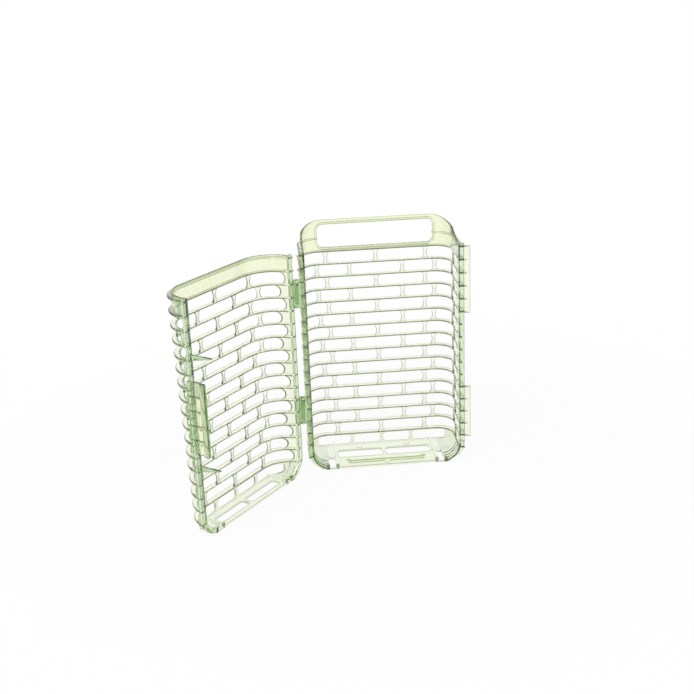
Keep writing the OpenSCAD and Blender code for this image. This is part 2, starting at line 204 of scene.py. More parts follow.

# Looks of the smaller forms: tone, and the share of painted shade on the rounded edges and on the
# flat faces. What isn't named is BODY, EDGE or FLAT.
TUB_LOOK = dict(tone=-0.45, flat=0.13)
PANEL_LOOK = dict(tone=-0.7)
FRONT_LINE_LOOK = dict(tone=CREAM, flat=0.6)
FOOT_RIB_LOOK = dict(tone=CLEAR, share=0.7)
FOOT_END_LOOK = dict(tone=GREEN, share=1.5, flat=1.5)
TAB_LOOK = dict(share=1.5)
STUB_LOOK = dict(tone=GREEN, share=EDGE, flat=0.9)
CLIP_LOOK = dict(tone=GREEN, share=0.5)
HINGE_ROOT_LOOK = dict(tone=GREEN, flat=0.7)
PLATE_LOOK = dict(tone=CREAM, share=0.2)
LATCH_FOOT_LOOK = dict(tone=GREEN, flat=0.1)
STRIP_LOOK = dict(tone=GREEN, share=0.3, flat=0.5)
HOOK_LOOK = dict(tone=CREAM, share=0.05)
LATCH_RIB_LOOK = dict(tone=GREEN, share=0.4, flat=0.55)
SPIKE_LOOK = dict(tone=GREEN, share=EDGE, flat=0.1)

# ---- studio and plastic ----

# The camera's place, turn and lens, from a fit to the ribs and bars in the photograph.
CAMERA_PLACE = (-0.08949, -0.85549, 0.40667)
CAMERA_TURN_DEG = (70.3797, 2.1513, -4.8316)
LENS_MM, SENSOR_MM = 59.765, 36.0
CAMERA_NEAR, CAMERA_FAR = 0.01, 30.0

# Lamps: name, place, width and height, power. Both point half way up the basket.
LAMPS = (("key_light", (-0.9, -1.0, 1.6), (1.2, 1.2), 16),
         ("fill_light", (1.2, -0.8, 1.0), (1.4, 1.0), 7))
LAMP_TARGET = (0, 0, 0.08)

# The room's light on the basket, and the white that shows behind and through it.
WHITE = (1.0, 1.0, 1.0, 1.0)
ROOM_LIGHT, WHITE_LIGHT = 0.45, 1.0

FLOOR_HALF_W = 6.0
FLOOR_PAINT = (0.93, 0.93, 0.925, 1.0)
FLOOR_ROUGHNESS, FLOOR_GLOSS = 0.9, 0.1

# The floor's own white grows with the distance from the basket, so the shadow fades out.
FLOOR_FADE = {"From Min": 0.12, "From Max": 0.5, "To Min": 0.92, "To Max": 1.0}

# The depth green is painted for the light through thick plastic; the edge and under colours are
# painted shade.
PLASTIC_COLOURS = {"Body Colour": (1.0, 1.0, 0.985, 1.0),
                   "Painted Depth Green": (0.62, 0.785, 0.54, 1.0),
                   "Band Colour": (0.975, 0.985, 0.79, 1.0),
                   "Edge Shade Colour": (0.26, 0.33, 0.18, 1.0),
                   "Under Shade Colour": (0.018, 0.026, 0.010, 1.0)}
PLASTIC_IOR, PLASTIC_CLEARNESS = 1.5, 0.955

# What a metre of the plastic takes from red, green and blue light.
ABSORBED = (26.0, 9.0, 52.0)

# Unevenness of the moulding: a slow change of colour, and a fine grain of gloss and height.
FLOW_SCALE, FLOW_DETAIL = 45.0, 3.0
FLOW_TINT = {"To Min": 0.98, "To Max": 1.0}
GRAIN_SCALE, GRAIN_DETAIL = 420.0, 2.0
GRAIN_GLOSS = {"To Min": 0.05, "To Max": 0.13}
GRAIN_BUMP, GRAIN_DEPTH = 0.15, 0.0001


def level_z(k):
    """Underside of level k: -1 is the top ledge, 0 the foot of the band, then the ribs down."""
    return FIRST_RIB_Z + (RIB_COUNT - k) * RIB_PITCH


BAND_Z, LEDGE_Z = level_z(0), level_z(-1)
TOP_Z = LEDGE_Z + LIP_H
MID_Z = level_z(RIB_COUNT / 2)
GRIP_Z = LEDGE_Z - GRIP_DROP + GRIP_H / 2
LATCH_Z = (level_z(LATCH_LEVELS[1]), level_z(LATCH_LEVELS[0]))


def lean(z):
    """How much deeper a tray is at height z, to a hundredth of a millimetre."""
    return round(100 * (z - MID_Z) * tan(radians(DRAFT_DEG))) / 100


def bar_spread(z):
    """How much further apart the bars stand at height z than half way up."""
    return 1 + (z - MID_Z) * BAR_TAPER


def unit(value):
    """The value, held between 0 and 1."""
    return max(0, min(1, value))


# ---- closed forms: points, faces, and each face's edge share and tone ----


def rounded(a0, a1, b0, b1, r, corners=(EDGE,) * 4, sides=(FLAT,) * 4, steps=ROUND_STEPS):
    """A rectangle with round corners: its points, and the edge share of the side after each."""
    points, shares = [], []
    radii = r if isinstance(r, tuple) else (r,) * 4
    ways = ((-1, -1), (1, -1), (1, 1), (-1, 1))
    for a, b, turn, way, size, edge, side in zip((a1, a0, a0, a1), (b1, b1, b0, b0),
                                                 (0, 90, 180, 270), ways, radii, corners, sides):
        for i in range(steps + 1):
            t = radians(turn + 90 * i / steps)
            points.append((a + size * (way[0] + cos(t)), b + size * (way[1] + sin(t))))
            shares.append(edge if i < steps else side)
    return points, shares


def arc(r, start, end, steps=ARC_STEPS):
    """Places on an arc from one turn to another, in degrees."""
    turns = [radians(start + (end - start) * i / steps) for i in range(steps + 1)]
    return [(r * cos(t), r * sin(t)) for t in turns]


def circle(r):
    return arc(r, 0, 360 - 360 / PIN_STEPS, PIN_STEPS - 1)


def loft(rings, shares, closed=False, tone=BODY, tone_of=None, fade_of=None):
    """A form through rings of points that match one another, with shares for a ring's sides.

    tone_of and fade_of give the tone of the stretch after ring i, and what its shares are
    multiplied by.
    """
    count = len(rings[0])
    points = [p for ring in rings for p in ring]
    faces, values, tones = [], [], []
    for i in range(len(rings) - (0 if closed else 1)):
        here, there = i * count, (i + 1) % len(rings) * count
        for j in range(count):
            k = (j + 1) % count
            faces.append((here + j, here + k, there + k, there + j))
            values.append(shares[j] * (fade_of(i) if fade_of else 1))
            tones.append(tone_of(i) if tone_of else tone)
    if not closed:
        faces += [tuple(range(count - 1, -1, -1)), tuple(range(len(points) - count, len(points)))]
        values += [FLAT, FLAT]
        tones += [tone, tone]
    return points, faces, values, tones


def prism(outline, t0, t1, to_point, round_r=SMALL_ROUND, tone=BODY, share=EDGE, flat=FLAT):
    """An outline made solid between t0 and t1, its sharp edges rounded."""
    mesh = bmesh.new()
    low = [mesh.verts.new(to_point(a, b, t0)) for a, b in outline]
    high = [mesh.verts.new(to_point(a, b, t1)) for a, b in outline]
    count = len(outline)
    mesh.faces.new(low[::-1])
    mesh.faces.new(high)
    for i in range(count):
        j = (i + 1) % count
        mesh.faces.new((low[i], low[j], high[j], high[i]))
    bmesh.ops.recalc_face_normals(mesh, faces=mesh.faces)
    edge_faces = set()
    if round_r:
        sharp = [e for e in mesh.edges if e.calc_face_angle(0) > BEVEL_ANGLE]
        done = bmesh.ops.bevel(mesh, geom=sharp, offset=round_r, offset_type="OFFSET",
                               segments=BEVEL_STEPS, profile=0.5, affect="EDGES",
                               clamp_overlap=True)
        edge_faces = set(done["faces"])
    mesh.verts.index_update()
    form = ([tuple(v.co) for v in mesh.verts],
            [tuple(v.index for v in f.verts) for f in mesh.faces],
            [share if f in edge_faces else flat for f in mesh.faces],
            [tone] * len(mesh.faces))
    mesh.free()
    return form


def across_x(a, b, t):
    return (t, a, b)


def across_y(a, b, t):
    return (a, t, b)


def upright(a, b, t):
    return (a, b, t)


def block(x0, x1, y0, y1, z0, z1, round_r=SMALL_ROUND, **look):
    return prism([(x0, y0), (x1, y0), (x1, y1), (x0, y1)], z0, z1, upright, round_r, **look)


def window(w, h, r):
    """The outline of a window with round corners, about its middle."""
    return rounded(-w / 2, w / 2, -h / 2, h / 2, r, steps=WINDOW_STEPS)[0]


def window_way(a, b, w, h, r):
    """The way outwards at a place on a window's outline, longest in the round corners."""
    ca, cb = max(min(a, w / 2 - r), r - w / 2), max(min(b, h / 2 - r), r - h / 2)
    return (a - ca) / r, (b - cb) / r


# ---- ribs, bars and rims ----


def plan_path(depth, corner, start_y):
    """Places along the inner wall from the left rim to the right one, with the way outwards."""
    cx, cy = WALL_W - corner, depth - corner
    first = 0.0
    half = []
    if cy > start_y:
        stops = (start_y, *(RIM_T + stop for stop in PATH_STOPS))
        half += [(WALL_W, y, 1.0, 0.0) for y in stops if y < cy]
    else:
        first = asin((start_y - cy) / corner)
    for i in range(CORNER_STEPS + 1):
        a = first + (pi / 2 - first) * i / CORNER_STEPS
        half.append((cx + corner * cos(a), cy + corner * sin(a), cos(a), sin(a)))
    return [(-x, y, -nx, ny) for x, y, nx, ny in half] + half[::-1]


def fine_path(depth, corner):
    """The same path with places in between, close enough for an upper edge that curves."""
    path = plan_path(depth, corner, LAP)
    fine = []
    for here, there in zip(path, path[1:]):
        gap = sqrt((there[0] - here[0]) ** 2 + (there[1] - here[1]) ** 2)
        parts = max(1, round(gap / PATH_STEP))
        fine += [tuple(h + (t - h) * i / parts for h, t in zip(here, there)) for i in range(parts)]
    return fine + [path[-1]]


def hoop(k, depth, corner):
    """Rib k, or a ledge of the band, round the three closed sides from the inner wall outwards."""
    z = level_z(k)
    d = depth + lean(z)
    ledge = k < 1
    profile, shares = rounded(0, STRIP_W - (LEDGE_BACK if k < 0 else SHY), z, z + RIB_T, RIB_ROUND,
                              LEDGE_EDGES if ledge else RIB_EDGES,
                              LEDGE_SIDES if ledge else (FLAT,) * 4)
    path = plan_path(d, corner, LAP)
    rings = [[(x + nx * a, y + ny * a, z) for a, z in profile] for x, y, nx, ny in path]

    def fade_of(i):
        """The painted edge shade stops behind the rim, is faint along the hinge side, and is
        strongest round the corners of the deep tray."""
        (x, y, nx, _), (_, next_y, next_nx, _) = path[i], path[i + 1]
        if min(y, next_y) < RIM_T:
            return RIB_RIM_FADE
        if x < 0 and max(y, next_y) <= d - corner + CORNER_REACH:
            return RIB_HINGE_FADE
        turned = not ledge and abs(nx) + abs(next_nx) > CORNER_TURN
        return RIB_CORNER_FADE if turned and corner == DEEP_R else 1

    return loft(rings, shares, tone=CREAM if ledge else BODY, fade_of=fade_of)


def waisted_bar(place, along, out, z0, h, edges=BAR_EDGES):
    """A bar between two ribs, thinner at its waist, from its lower end. It stands in the wall."""
    parts = len(BAR_FADES)
    rings = []
    for i in range(parts + 1):
        t = i / parts
        half = BAR_WAIST / 2 + (BAR_ROOT - BAR_WAIST) / 2 * (2 * t - 1) ** 2
        profile, shares = rounded(-half, half, BAR_PROUD, WALL_T + BAR_PROUD, BAR_ROUND, edges)
        rings.append([(place[0] + along[0] * a + out[0] * b, place[1] + along[1] * a + out[1] * b,
                       z0 + t * h) for a, b in profile])
    return loft(rings, shares, tone=CLEAR, fade_of=lambda i: BAR_FADES[i])


def wall_bar(x, depth, corner, z0, h, edges):
    """A bar of the big wall, turned with the wall where it stands in the round corner."""
    side = -1 if x < 0 else 1
    past = max(abs(x) - WALL_W + corner, 0)
    turn = side * asin(past / (corner + WALL_T / 2))
    out = (sin(turn), cos(turn))
    place = (x - side * past + corner * out[0], depth - corner + corner * out[1])
    return waisted_bar(place, (out[1], -out[0]), out, z0, h, edges)


def web(side, depth, corner, length, z0, h, nose_edge):
    """The wall behind the rim in one row, hollowed by the round end of the slot beside it."""
    cx, cy = WALL_W - corner, depth - corner
    nose = WALL_T / 2

    def wall_x(y, out):
        r = corner + out
        return cx + (sqrt(max(r * r - (y - cy) ** 2, 0)) if y > cy else r)

    rings = []
    slot_r = h / 2
    for i in range(WEB_STEPS + 1):
        a = radians(-90 + 180 * i / WEB_STEPS)
        y1 = RIM_T + length + slot_r * (1 - cos(a)) - nose
        ys = [LAP + (y1 - LAP) * j / WEB_SIDE_STEPS for j in range(WEB_SIDE_STEPS + 1)]
        ring = [(wall_x(y, 0), y) for y in ys]
        for j in range(1, NOSE_STEPS):
            t = pi * j / NOSE_STEPS
            ring.append((wall_x(y1 + nose * sin(t), nose * (1 - cos(t))), y1 + nose * sin(t)))
        ring += [(wall_x(y, WALL_T), y) for y in reversed(ys)]
        rings.append([(side * x, y, z0 + slot_r * (1 + sin(a))) for x, y in ring])
    shares = [FLAT] * WEB_SIDE_STEPS + [nose_edge] * NOSE_STEPS + [FLAT] * (WEB_SIDE_STEPS + 1)
    # The web beside the free rim takes a little painted green, for the light through thick plastic.
    return loft(rings, shares, tone=GREENISH if side > 0 else BODY)


def rows(depth, corner, side_bars):
    """The bars and webs between the ribs, staggered from row to row."""
    edges, nose_edge = (BAR_EDGES, EDGE) if side_bars else (DOOR_BAR_EDGES, NOSE_EDGE)
    forms = []
    for k in range(1, RIB_COUNT + 1):
        z = level_z(k) + RIB_T
        d = depth + lean(z)
        odd = k % 2 == 1
        z0, h = z - LAP, ROW_H + 2 * LAP
        if odd:
            xs = (-WIDE_BAR_X, 0, WIDE_BAR_X)
        else:
            xs = (-OUTER_BAR_X, -INNER_BAR_X, INNER_BAR_X, OUTER_BAR_X)
        forms += [wall_bar(x * bar_spread(z), d, corner, z0, h, edges) for x in xs]
        for side in (-1, 1):
            forms.append(web(side, d, corner, SHORT_WEB if odd else LONG_WEB, z0, h, nose_edge))
            if side_bars:
                y = (NEAR_BAR_Y if odd else FAR_BAR_Y) + lean(z)
                forms.append(waisted_bar((side * WALL_W, y), (0, 1), (side, 0), z0, h))
    return forms


def rim_strip(side, green, green_z):
    """The rim round the open face, down one side and round its bottom corner."""
    profile, shares = rounded(0, STRIP_W, 0, RIM_T, LARGE_ROUND,
                              RIM_EDGES if side < 0 else FREE_RIM_EDGES)
    middle = HALF_W - FOOT_CORNER_R
    last = radians(RIM_TURN_DEG)
    stations = [(WALL_W, TOP_Z, 1.0, 0.0), (WALL_W, 3 * FOOT_CORNER_R / 2, 1.0, 0.0)]
    for i in range(RIM_STEPS + 1):
        nx, nz = cos(last * i / RIM_STEPS), sin(last * i / RIM_STEPS)
        stations.append((middle + FOOT_INNER_R * nx, FOOT_CORNER_R + FOOT_INNER_R * nz, nx, nz))
    rings = [[(side * (x + nx * a), y, z + nz * a) for a, y in profile]
             for x, z, nx, nz in stations]

    def tone_of(i):
        """The painted green thins out where the rim turns into the floor."""
        return PALE_GREEN + (green - PALE_GREEN) * unit((stations[i + 1][1] - green_z) / GREEN_RISE)

    # The painted edge shade is faint round the bottom corner.
    def fade_of(i):
        return RIM_FOOT_FADE if stations[i + 1][1] < FOOT_CORNER_R else 1

    return loft(rings, shares, tone=green, tone_of=tone_of, fade_of=fade_of)


def ledge_ends():
    """The two ledges carried on past the rim on the hinge side."""
    return [block(-HALF_W - HINGE_OUT / 2, -HALF_W + LAP, 0, RIM_T, level_z(k), level_z(k) + RIB_T)
            for k in (-1, 0)]


# ---- floor and closed bottom ----


def front_outline(w, bottom, top, r):
    """A tray's outline seen from the front: round at its two bottom corners."""
    points = [(w, top), (-w, top)]
    for middle, start in ((r - w, 180), (w - r, 270)):
        points += [(middle + a, bottom + r + b)
                   for a, b in arc(r, start, start + 90, OUTLINE_STEPS)]
    return points


def plan_outline(w, depth, r, y0):
    """A tray's outline seen from above: round at its two far corners."""
    cx, cy = w - r, depth - r
    first = 0.0 if cy > y0 else asin((y0 - cy) / r)
    turns = [first + (pi / 2 - first) * i / OUTLINE_STEPS for i in range(OUTLINE_STEPS + 1)]
    half = [(cx + r * cos(t), cy + r * sin(t)) for t in turns]
    if cy > y0:
        half.insert(0, (w, y0))
    return half + [(-x, y) for x, y in reversed(half)]


def tub_slots(d, corner, sill, slot_d):
    """Cutters for the slots at the foot of the wall, and the floor's windows and notches."""
    slot_z = WALL_T + SILL_H
    slot_h = FIRST_RIB_Z - slot_z
    inner_w = FOOT_BAR_X - BAR_WAIST
    outer_w = SKIN_W - FOOT_SKIN_R / 2 - FOOT_BAR_X - BAR_WAIST / 2
    wall_slots = ((FOOT_BAR_X / 2, inner_w), (FOOT_BAR_X + BAR_WAIST / 2 + outer_w / 2, outer_w))
    notch = (INNER_FOOT_X + FOOT_RIB_T / 2 + NOTCH_GAP, POST_X - FOOT_RIB_T / 2 - NOTCH_GAP)
    slots = []
    for side in (-1, 1):
        for middle, w in wall_slots:
            outline = [(side * middle + a, slot_z + slot_h / 2 + b)
                       for a, b in window(w, slot_h, slot_h / 3)]
            slots.append(prism(outline, d - corner / 3, d + WALL_T + LAP, across_y, 0))
        outline = [(side * WINDOW_X + a, sill + slot_d / 2 + b)
                   for a, b in window(WINDOW_W, slot_d, slot_d / 4)]
        slots.append(prism(outline, -LAP, WALL_T + LAP, upright, 0))
        x0, x1 = sorted(side * x for x in notch)
        slots.append(block(x0, x1, NOTCH_FRONT, sill + LAP, -LAP, WALL_T + LAP, 0))
    return slots


def tub(depth, corner, sill, slot_d):
    """The closed part under the lowest rib: floor, round bottom corners and walls above them."""
    d = depth + lean(FIRST_RIB_Z / 2)
    top = FIRST_RIB_Z + LAP

    def solid(outline, t0, t1, to_point):
        return [prism(outline, t0, t1, to_point, 0, **TUB_LOOK)]

    outer = solid(plan_outline(SKIN_W, d + WALL_T, corner + WALL_T, 0), 0, top, upright)
    outer_front = solid(front_outline(SKIN_W, 0, TOP_Z, FOOT_SKIN_R),
                        -LAP, d + WALL_T + LAP, across_y)
    inner = solid(plan_outline(WALL_W, d, corner, -LAP), 0, top + LAP, upright)
    inner_front = solid(front_outline(WALL_W, WALL_T, TOP_Z, FOOT_SKIN_R - WALL_T),
                        -2 * LAP, d + LAP, across_y)
    shell = cut(join("INTERSECT", outer, outer_front), join("INTERSECT", inner, inner_front))
    panel = [block(-INNER_FOOT_X, INNER_FOOT_X, SHY, d + LAP, LAP, WALL_T + SHY, 0, **PANEL_LOOK)]
    slots = shaded(tub_slots(d, corner, sill, slot_d), SLOT_SHARE, BODY)
    return cut(join("UNION", shell, panel), slots)


def floor_lines(sill, slot_d):
    """Low raised lines round the windows of the floor and along its front edge."""
    profile, shares = rounded(-SHY, LINE_W, WALL_T - LAP, WALL_T + LINE_H, LINE_H / 2,
                              LINE_EDGES, LINE_SIDES)
    r = slot_d / 4
    forms = []
    for side in (-1, 1):
        rings = []
        for a, b in window(WINDOW_W, slot_d, r):
            na, nb = window_way(a, b, WINDOW_W, slot_d, r)
            rings.append([(side * WINDOW_X + a + na * t, sill + slot_d / 2 + b + nb * t, z)
                          for t, z in profile])
        forms.append(loft(rings, shares, closed=True))
    forms.append(block(-INNER_FOOT_X, INNER_FOOT_X, INSET, LINE_W, WALL_T - LAP, WALL_T + LINE_H, 0,
                       **FRONT_LINE_LOOK))
    return forms


def corner_lines(depth):
    """Low raised lines down the inside of the round bottom corners."""
    r = FOOT_INNER_R
    forms = []
    for side in (-1, 1):
        for y in (y for y in CORNER_LINE_YS if y <= depth / 2):
            profile, shares = rounded(-LINE_H, LAP, y, y + LINE_W, LINE_H / 2,
                                      LINE_EDGES, LINE_SIDES)
            rings = [[(side * (WALL_W - r + x * (r + t)), b, WALL_T + r + z * (r + t))
                      for t, b in profile] for x, z in arc(1, *CORNER_LINE_TURN, LINE_STEPS)]
            # They take a little painted green, for the light through thick plastic.
            forms.append(loft(rings, shares, tone=GREENISH))
    return forms


def foot_ribs(depth):
    """The foot ribs: the inner two run to the back wall, the outer two only behind the rim."""
    d = depth + lean(FIRST_RIB_Z / 2)
    return [block(side * x - FOOT_RIB_T / 2, side * x + FOOT_RIB_T / 2, 2 * SHY, y1,
                  WALL_T - LAP, FOOT_RIB_H, **FOOT_RIB_LOOK)
            for side in (-1, 1) for x, y1 in ((INNER_FOOT_X, d + LAP), (POST_X, RIM_T))]


def foot_ends():
    """The front ends of the foot ribs, where the plastic is thick to look through: painted green,
    and painted shade over all their faces.
    """
    return [block(side * x - FOOT_END_W / 2, side * x + FOOT_END_W / 2, -SHY, RIM_T / 2,
                  SHY, FOOT_RIB_H + SHY, **FOOT_END_LOOK)
            for side in (-1, 1) for x in (INNER_FOOT_X, POST_X)]


def floor_bar():
    """The raised bar of the floor: a bright front between a foot and an upper edge darkened by
    painted shade.
    """
    y0, y1 = FLOOR_BAR_Y - FLOOR_BAR_W / 2, FLOOR_BAR_Y + FLOOR_BAR_W / 2
    z0, z1 = WALL_T - 2 * LAP, WALL_T + FLOOR_BAR_H
    profile = [(y0, z0), (y1, z0), (y1, z1), (y0 + FLOOR_BAR_LINE, z1), (y0, z1 - SHY),
               (y0, WALL_T + FLOOR_BAR_FOOT)]
    rings = [[(x, y, z) for y, z in profile] for x in (-FLOOR_BAR_L / 2, FLOOR_BAR_L / 2)]
    return loft(rings, FLOOR_BAR_SHARES, tone=CREAM)


def bosses():
    """The small round boss at each end of the floor's raised bar."""
    y = FLOOR_BAR_Y + FLOOR_BAR_W / 2
    return [prism([(side * FLOOR_BAR_L / 2 + a, y + b) for a, b in circle(BOSS_R)],
                  WALL_T - LAP + SHY, WALL_T + BOSS_H, upright, LARGE_ROUND) for side in (-1, 1)]


def pads():
    return [block(x - PAD_W / 2, x + PAD_W / 2, y - PAD_W / 2, y + PAD_W / 2,
                  WALL_T - LAP, WALL_T + PAD_H) for x, y in PADS]


# ---- top band, handle and grip ----


def wall_sheet(depth, corner, top_of):
    """The smooth wall of the band, up to an edge whose height changes along the wall."""
    path = fine_path(depth, corner)
    rings = []
    for x, y, nx, ny in path:
        profile, shares = rounded(0, WALL_T, BAND_Z + LAP, top_of(x, y), LARGE_ROUND, BAND_EDGES)
        rings.append([(x + nx * a, y + ny * a, z) for a, z in profile])

    def tone_of(i):
        """Painted greener beside the free rim, where the wall is thick to look through."""
        x, y = path[i][:2]
        near = unit((BAND_GREEN_Y - y) / BAND_GREEN_FADE) if x > 0 else 0
        return CREAM + (SOFT_GREEN - CREAM) * near

    return loft(rings, shares, tone=CREAM, tone_of=tone_of)


def handle_top(depth):
    """The handle's upper edge: shoulders from the front, a hollow curve from the side."""
    z1 = LEDGE_Z + HANDLE_H
    middle = HANDLE_W - HANDLE_R

    def top_of(x, y):
        over = max(abs(x) - middle, 0)
        shoulder = z1 - HANDLE_R + sqrt(max(HANDLE_R ** 2 - over ** 2, 0))
        sweep = TOP_Z + SWEEP_R - sqrt(SWEEP_R ** 2 - max(y - RIM_T, 0) ** 2)
        return min(shoulder, sweep if y < depth - WALL_T else z1)

    return top_of


def grip_ring(depth):
    """The raised ring round the grip opening."""
    profile, shares = rounded(-SHY, RING_W, depth - RING_OUT, depth + WALL_T + RING_OUT,
                              LARGE_ROUND, RING_EDGES)
    rings = []
    for x, z in window(GRIP_W, GRIP_H, GRIP_R):
        nx, nz = window_way(x, z, GRIP_W, GRIP_H, GRIP_R)
        rings.append([(x + nx * a, y, GRIP_Z + z + nz * a) for a, y in profile])
    return loft(rings, shares, closed=True, tone=CREAM)


def grip_hole(depth):
    return prism([(a, GRIP_Z + b) for a, b in window(GRIP_W, GRIP_H, GRIP_R)],
                 depth - 2 * RING_OUT, depth + WALL_T + RIB_OUT + LAP, across_y, 0)


# ---- hinges ----


def at_hinge(points):
    return [(HINGE_X + a, -RIM_GAP / 2 + b) for a, b in points]


def clips():
    """The deep tray's split clips, open towards the front."""
    outline = arc(CLIP_R, -90, 0) + [(HINGE_OUT + LAP, 0), (HINGE_OUT + LAP, CLIP_R)]
    outline += arc(CLIP_R, 90, 180) + arc(PIN_R + PIN_CLEAR, 180, -90, PIN_STEPS)
    return [prism(at_hinge(outline), level_z(k) - CLIP_L / 2, level_z(k) + CLIP_L / 2, upright,
                  CLIP_ROUND, **CLIP_LOOK) for k in HINGE_LEVELS]


def pins():
    """The door's pins, and the cheeks above and below each."""
    half = CLIP_L / 2 + CHEEK_GAP
    rods = [prism(at_hinge(circle(PIN_R)), level_z(k) - half - LAP, level_z(k) + half + LAP,
                  upright, 0, GREEN) for k in HINGE_LEVELS]
    outline = arc(CLIP_R, 90, 360, CHEEK_STEPS) + [(HINGE_OUT + LAP, 0), (HINGE_OUT + LAP, CLIP_R)]
    cheeks = [prism(at_hinge(outline), level_z(k) + z, level_z(k) + z + CHEEK_T, upright,
                    SLIGHT_ROUND, **CLIP_LOOK)
              for k in HINGE_LEVELS for z in (-half - CHEEK_T, half)]
    return rods, cheeks


def hinge_roots():
    """The door's rim beside its pins, thick: painted green, darkened by painted shade on all its
    faces.
    """
    half = CLIP_L / 2 + CHEEK_GAP + CHEEK_T
    return [block(-HALF_W + SHY, -HALF_W + STRIP_W - SHY, -SHY, RIM_T / 2,
                  level_z(k) - half, level_z(k) + half, 0, **HINGE_ROOT_LOOK) for k in HINGE_LEVELS]


# ---- latch, spikes and finger tabs ----


def latch():
    """Plate and hook that snap over the other tray's rim, in layers whose forms don't touch."""
    z0, z1 = LATCH_Z
    plate_x = HALF_W + LATCH_GAP
    end_y = -RIM_GAP - LATCH_REACH
    catch_y = -RIM_GAP - RIM_T - 2 * LAP
    hook_x = plate_x - LATCH_GAP - HOOK_D + LAP
    root = [block(HALF_W - LAP, plate_x + LATCH_T - SHY, INSET, RIM_T - INSET, z0 + SHY, z1 - SHY,
                  SLIGHT_ROUND)]
    plate = [block(plate_x, plate_x + LATCH_T, end_y, RIM_T - SHY, z0, z1, **PLATE_LOOK)]
    foot = [block(plate_x - SHY, plate_x + LATCH_T + SHY, -LATCH_FOOT, RIM_T - 2 * SHY,
                  z0 - SHY + LAP, z1 + SHY - LAP, 0, **LATCH_FOOT_LOOK)]
    strip = [block(plate_x + SHY, plate_x + HOOK_T, end_y + SHY, end_y + HOOK_W,
                   z0 + SHY, z1 - SHY, LARGE_ROUND, **STRIP_LOOK)]
    outline = [(plate_x + LAP, catch_y), (hook_x, catch_y), (hook_x, catch_y - HOOK_FLAT),
               (plate_x + LAP, end_y + 2 * SHY)]
    hook = [prism(outline, z0 + 2 * SHY, z1 - 2 * SHY, upright, SLIGHT_ROUND, **HOOK_LOOK)]
    pitch = (z1 - z0) / (LATCH_RIBS + 1)
    cross = [block(plate_x + LATCH_T - LAP, plate_x + LATCH_T + LATCH_RIB,
                   end_y + HOOK_W - LAP, RIM_T - 2 * SHY,
                   z0 + i * pitch - LATCH_RIB / 2, z0 + i * pitch + LATCH_RIB / 2, **LATCH_RIB_LOOK)
             for i in range(1, LATCH_RIBS + 1)]
    return root, plate, strip + foot, hook, cross


def hook_room():
    """Cutter for the room that the other tray leaves for the hook, behind its free rim."""
    return block(HALF_W - HOOK_D - LAP, HALF_W + LAP, RIM_T + LAP, RIM_T + LAP + LATCH_REACH,
                 LATCH_Z[0] - HOOK_ROOM, LATCH_Z[1] + HOOK_ROOM, 0)


def spikes():
    """Tapered spikes that slide along the other tray's free wall as the door shuts."""
    x1 = WALL_W - SPIKE_GAP
    roots, blades = [], []
    for k in SPIKE_LEVELS:
        z = level_z(k)
        roots.append(block(x1 - SPIKE_T + SHY, x1 + SPIKE_GAP + WALL_T, INSET, RIM_T - INSET,
                           z + SHY, z + SPIKE_H - SHY, SLIGHT_ROUND))
        outline = [(RIM_T - SHY, 0), (RIM_T - SHY, SPIKE_H), (-SPIKE_L, SPIKE_H),
                   (-SPIKE_L, SPIKE_H - SPIKE_TIP), (0, 0)]
        blades.append(prism([(y, z + h) for y, h in outline], x1 - SPIKE_T, x1, across_x,
                            **SPIKE_LOOK))
    return roots, blades


def finger_tabs():
    """The two tab plates, and the stub of each rib on them."""
    plates, stubs = [], []
    for low, high in TABS:
        plates.append(block(HALF_W - LAP, HALF_W + TAB_OUT, INSET, TAB_T,
                            level_z(high), level_z(low) + RIB_T, **TAB_LOOK))
        stubs += [block(HALF_W - LAP, HALF_W + TAB_OUT / 2, TAB_T - LAP, RIM_T - INSET,
                        level_z(k) + SHY, level_z(k) + RIB_T - SHY, SLIGHT_ROUND, **STUB_LOOK)
                  for k in range(low, high + 1)]
    return plates, stubs


# ---- joining ----


def as_object(name, forms, place=None):
    """A mesh object of closed forms that don't touch, each turned right side out."""
    points, faces, edges, tones = [], [], [], []
    for form_points, form_faces, form_edges, form_tones in forms:
        spots = [place(p) for p in form_points] if place else form_points
        volume = 0.0
        for face in form_faces:
            a = Vector(spots[face[0]])
            for i in range(1, len(face) - 1):
                volume += a.dot(Vector(spots[face[i]]).cross(Vector(spots[face[i + 1]])))
        start = len(points)
        points += spots
        faces += [tuple(start + i for i in (face if volume > 0 else face[::-1]))
                  for face in form_faces]
        edges += form_edges
        tones += form_tones
    mesh = bpy.data.meshes.new(name)
    mesh.from_pydata(points, [], faces)
    # Each face carries its share of painted edge shade, and its tone.
    for kind, values in (("edge_shade_share", edges), ("tone", tones)):
        mesh.attributes.new(kind, "FLOAT", "FACE").data.foreach_set("value", values)
    thing = bpy.data.objects.new(name, mesh)
    bpy.context.scene.collection.objects.link(thing)
    return thing


def combined(thing, other, operation):
    """The object joined with or cut by the other, which is used up."""
    step = thing.modifiers.new("step", "BOOLEAN")
    step.operation = operation
    step.object = other
    step.solver = "MANIFOLD"
    view = bpy.context.evaluated_depsgraph_get()
    mesh = bpy.data.meshes.new_from_object(thing.evaluated_get(view))
    thing.modifiers.clear()
    old = thing.data
    thing.data = mesh
    bpy.data.meshes.remove(old)
    spent = other.data
    bpy.data.objects.remove(other)
    bpy.data.meshes.remove(spent)
    return thing


def form_of(thing):
    """The forms of an object back as points, faces, edge shares and tones, and the object gone."""
    mesh = thing.data
    form = ([tuple(v.co) for v in mesh.vertices], [tuple(p.vertices) for p in mesh.polygons],
            *([v.value for v in mesh.attributes[kind].data] for kind in ("edge_shade_share", "tone")))
    bpy.data.objects.remove(thing)
    bpy.data.meshes.remove(mesh)
    return form


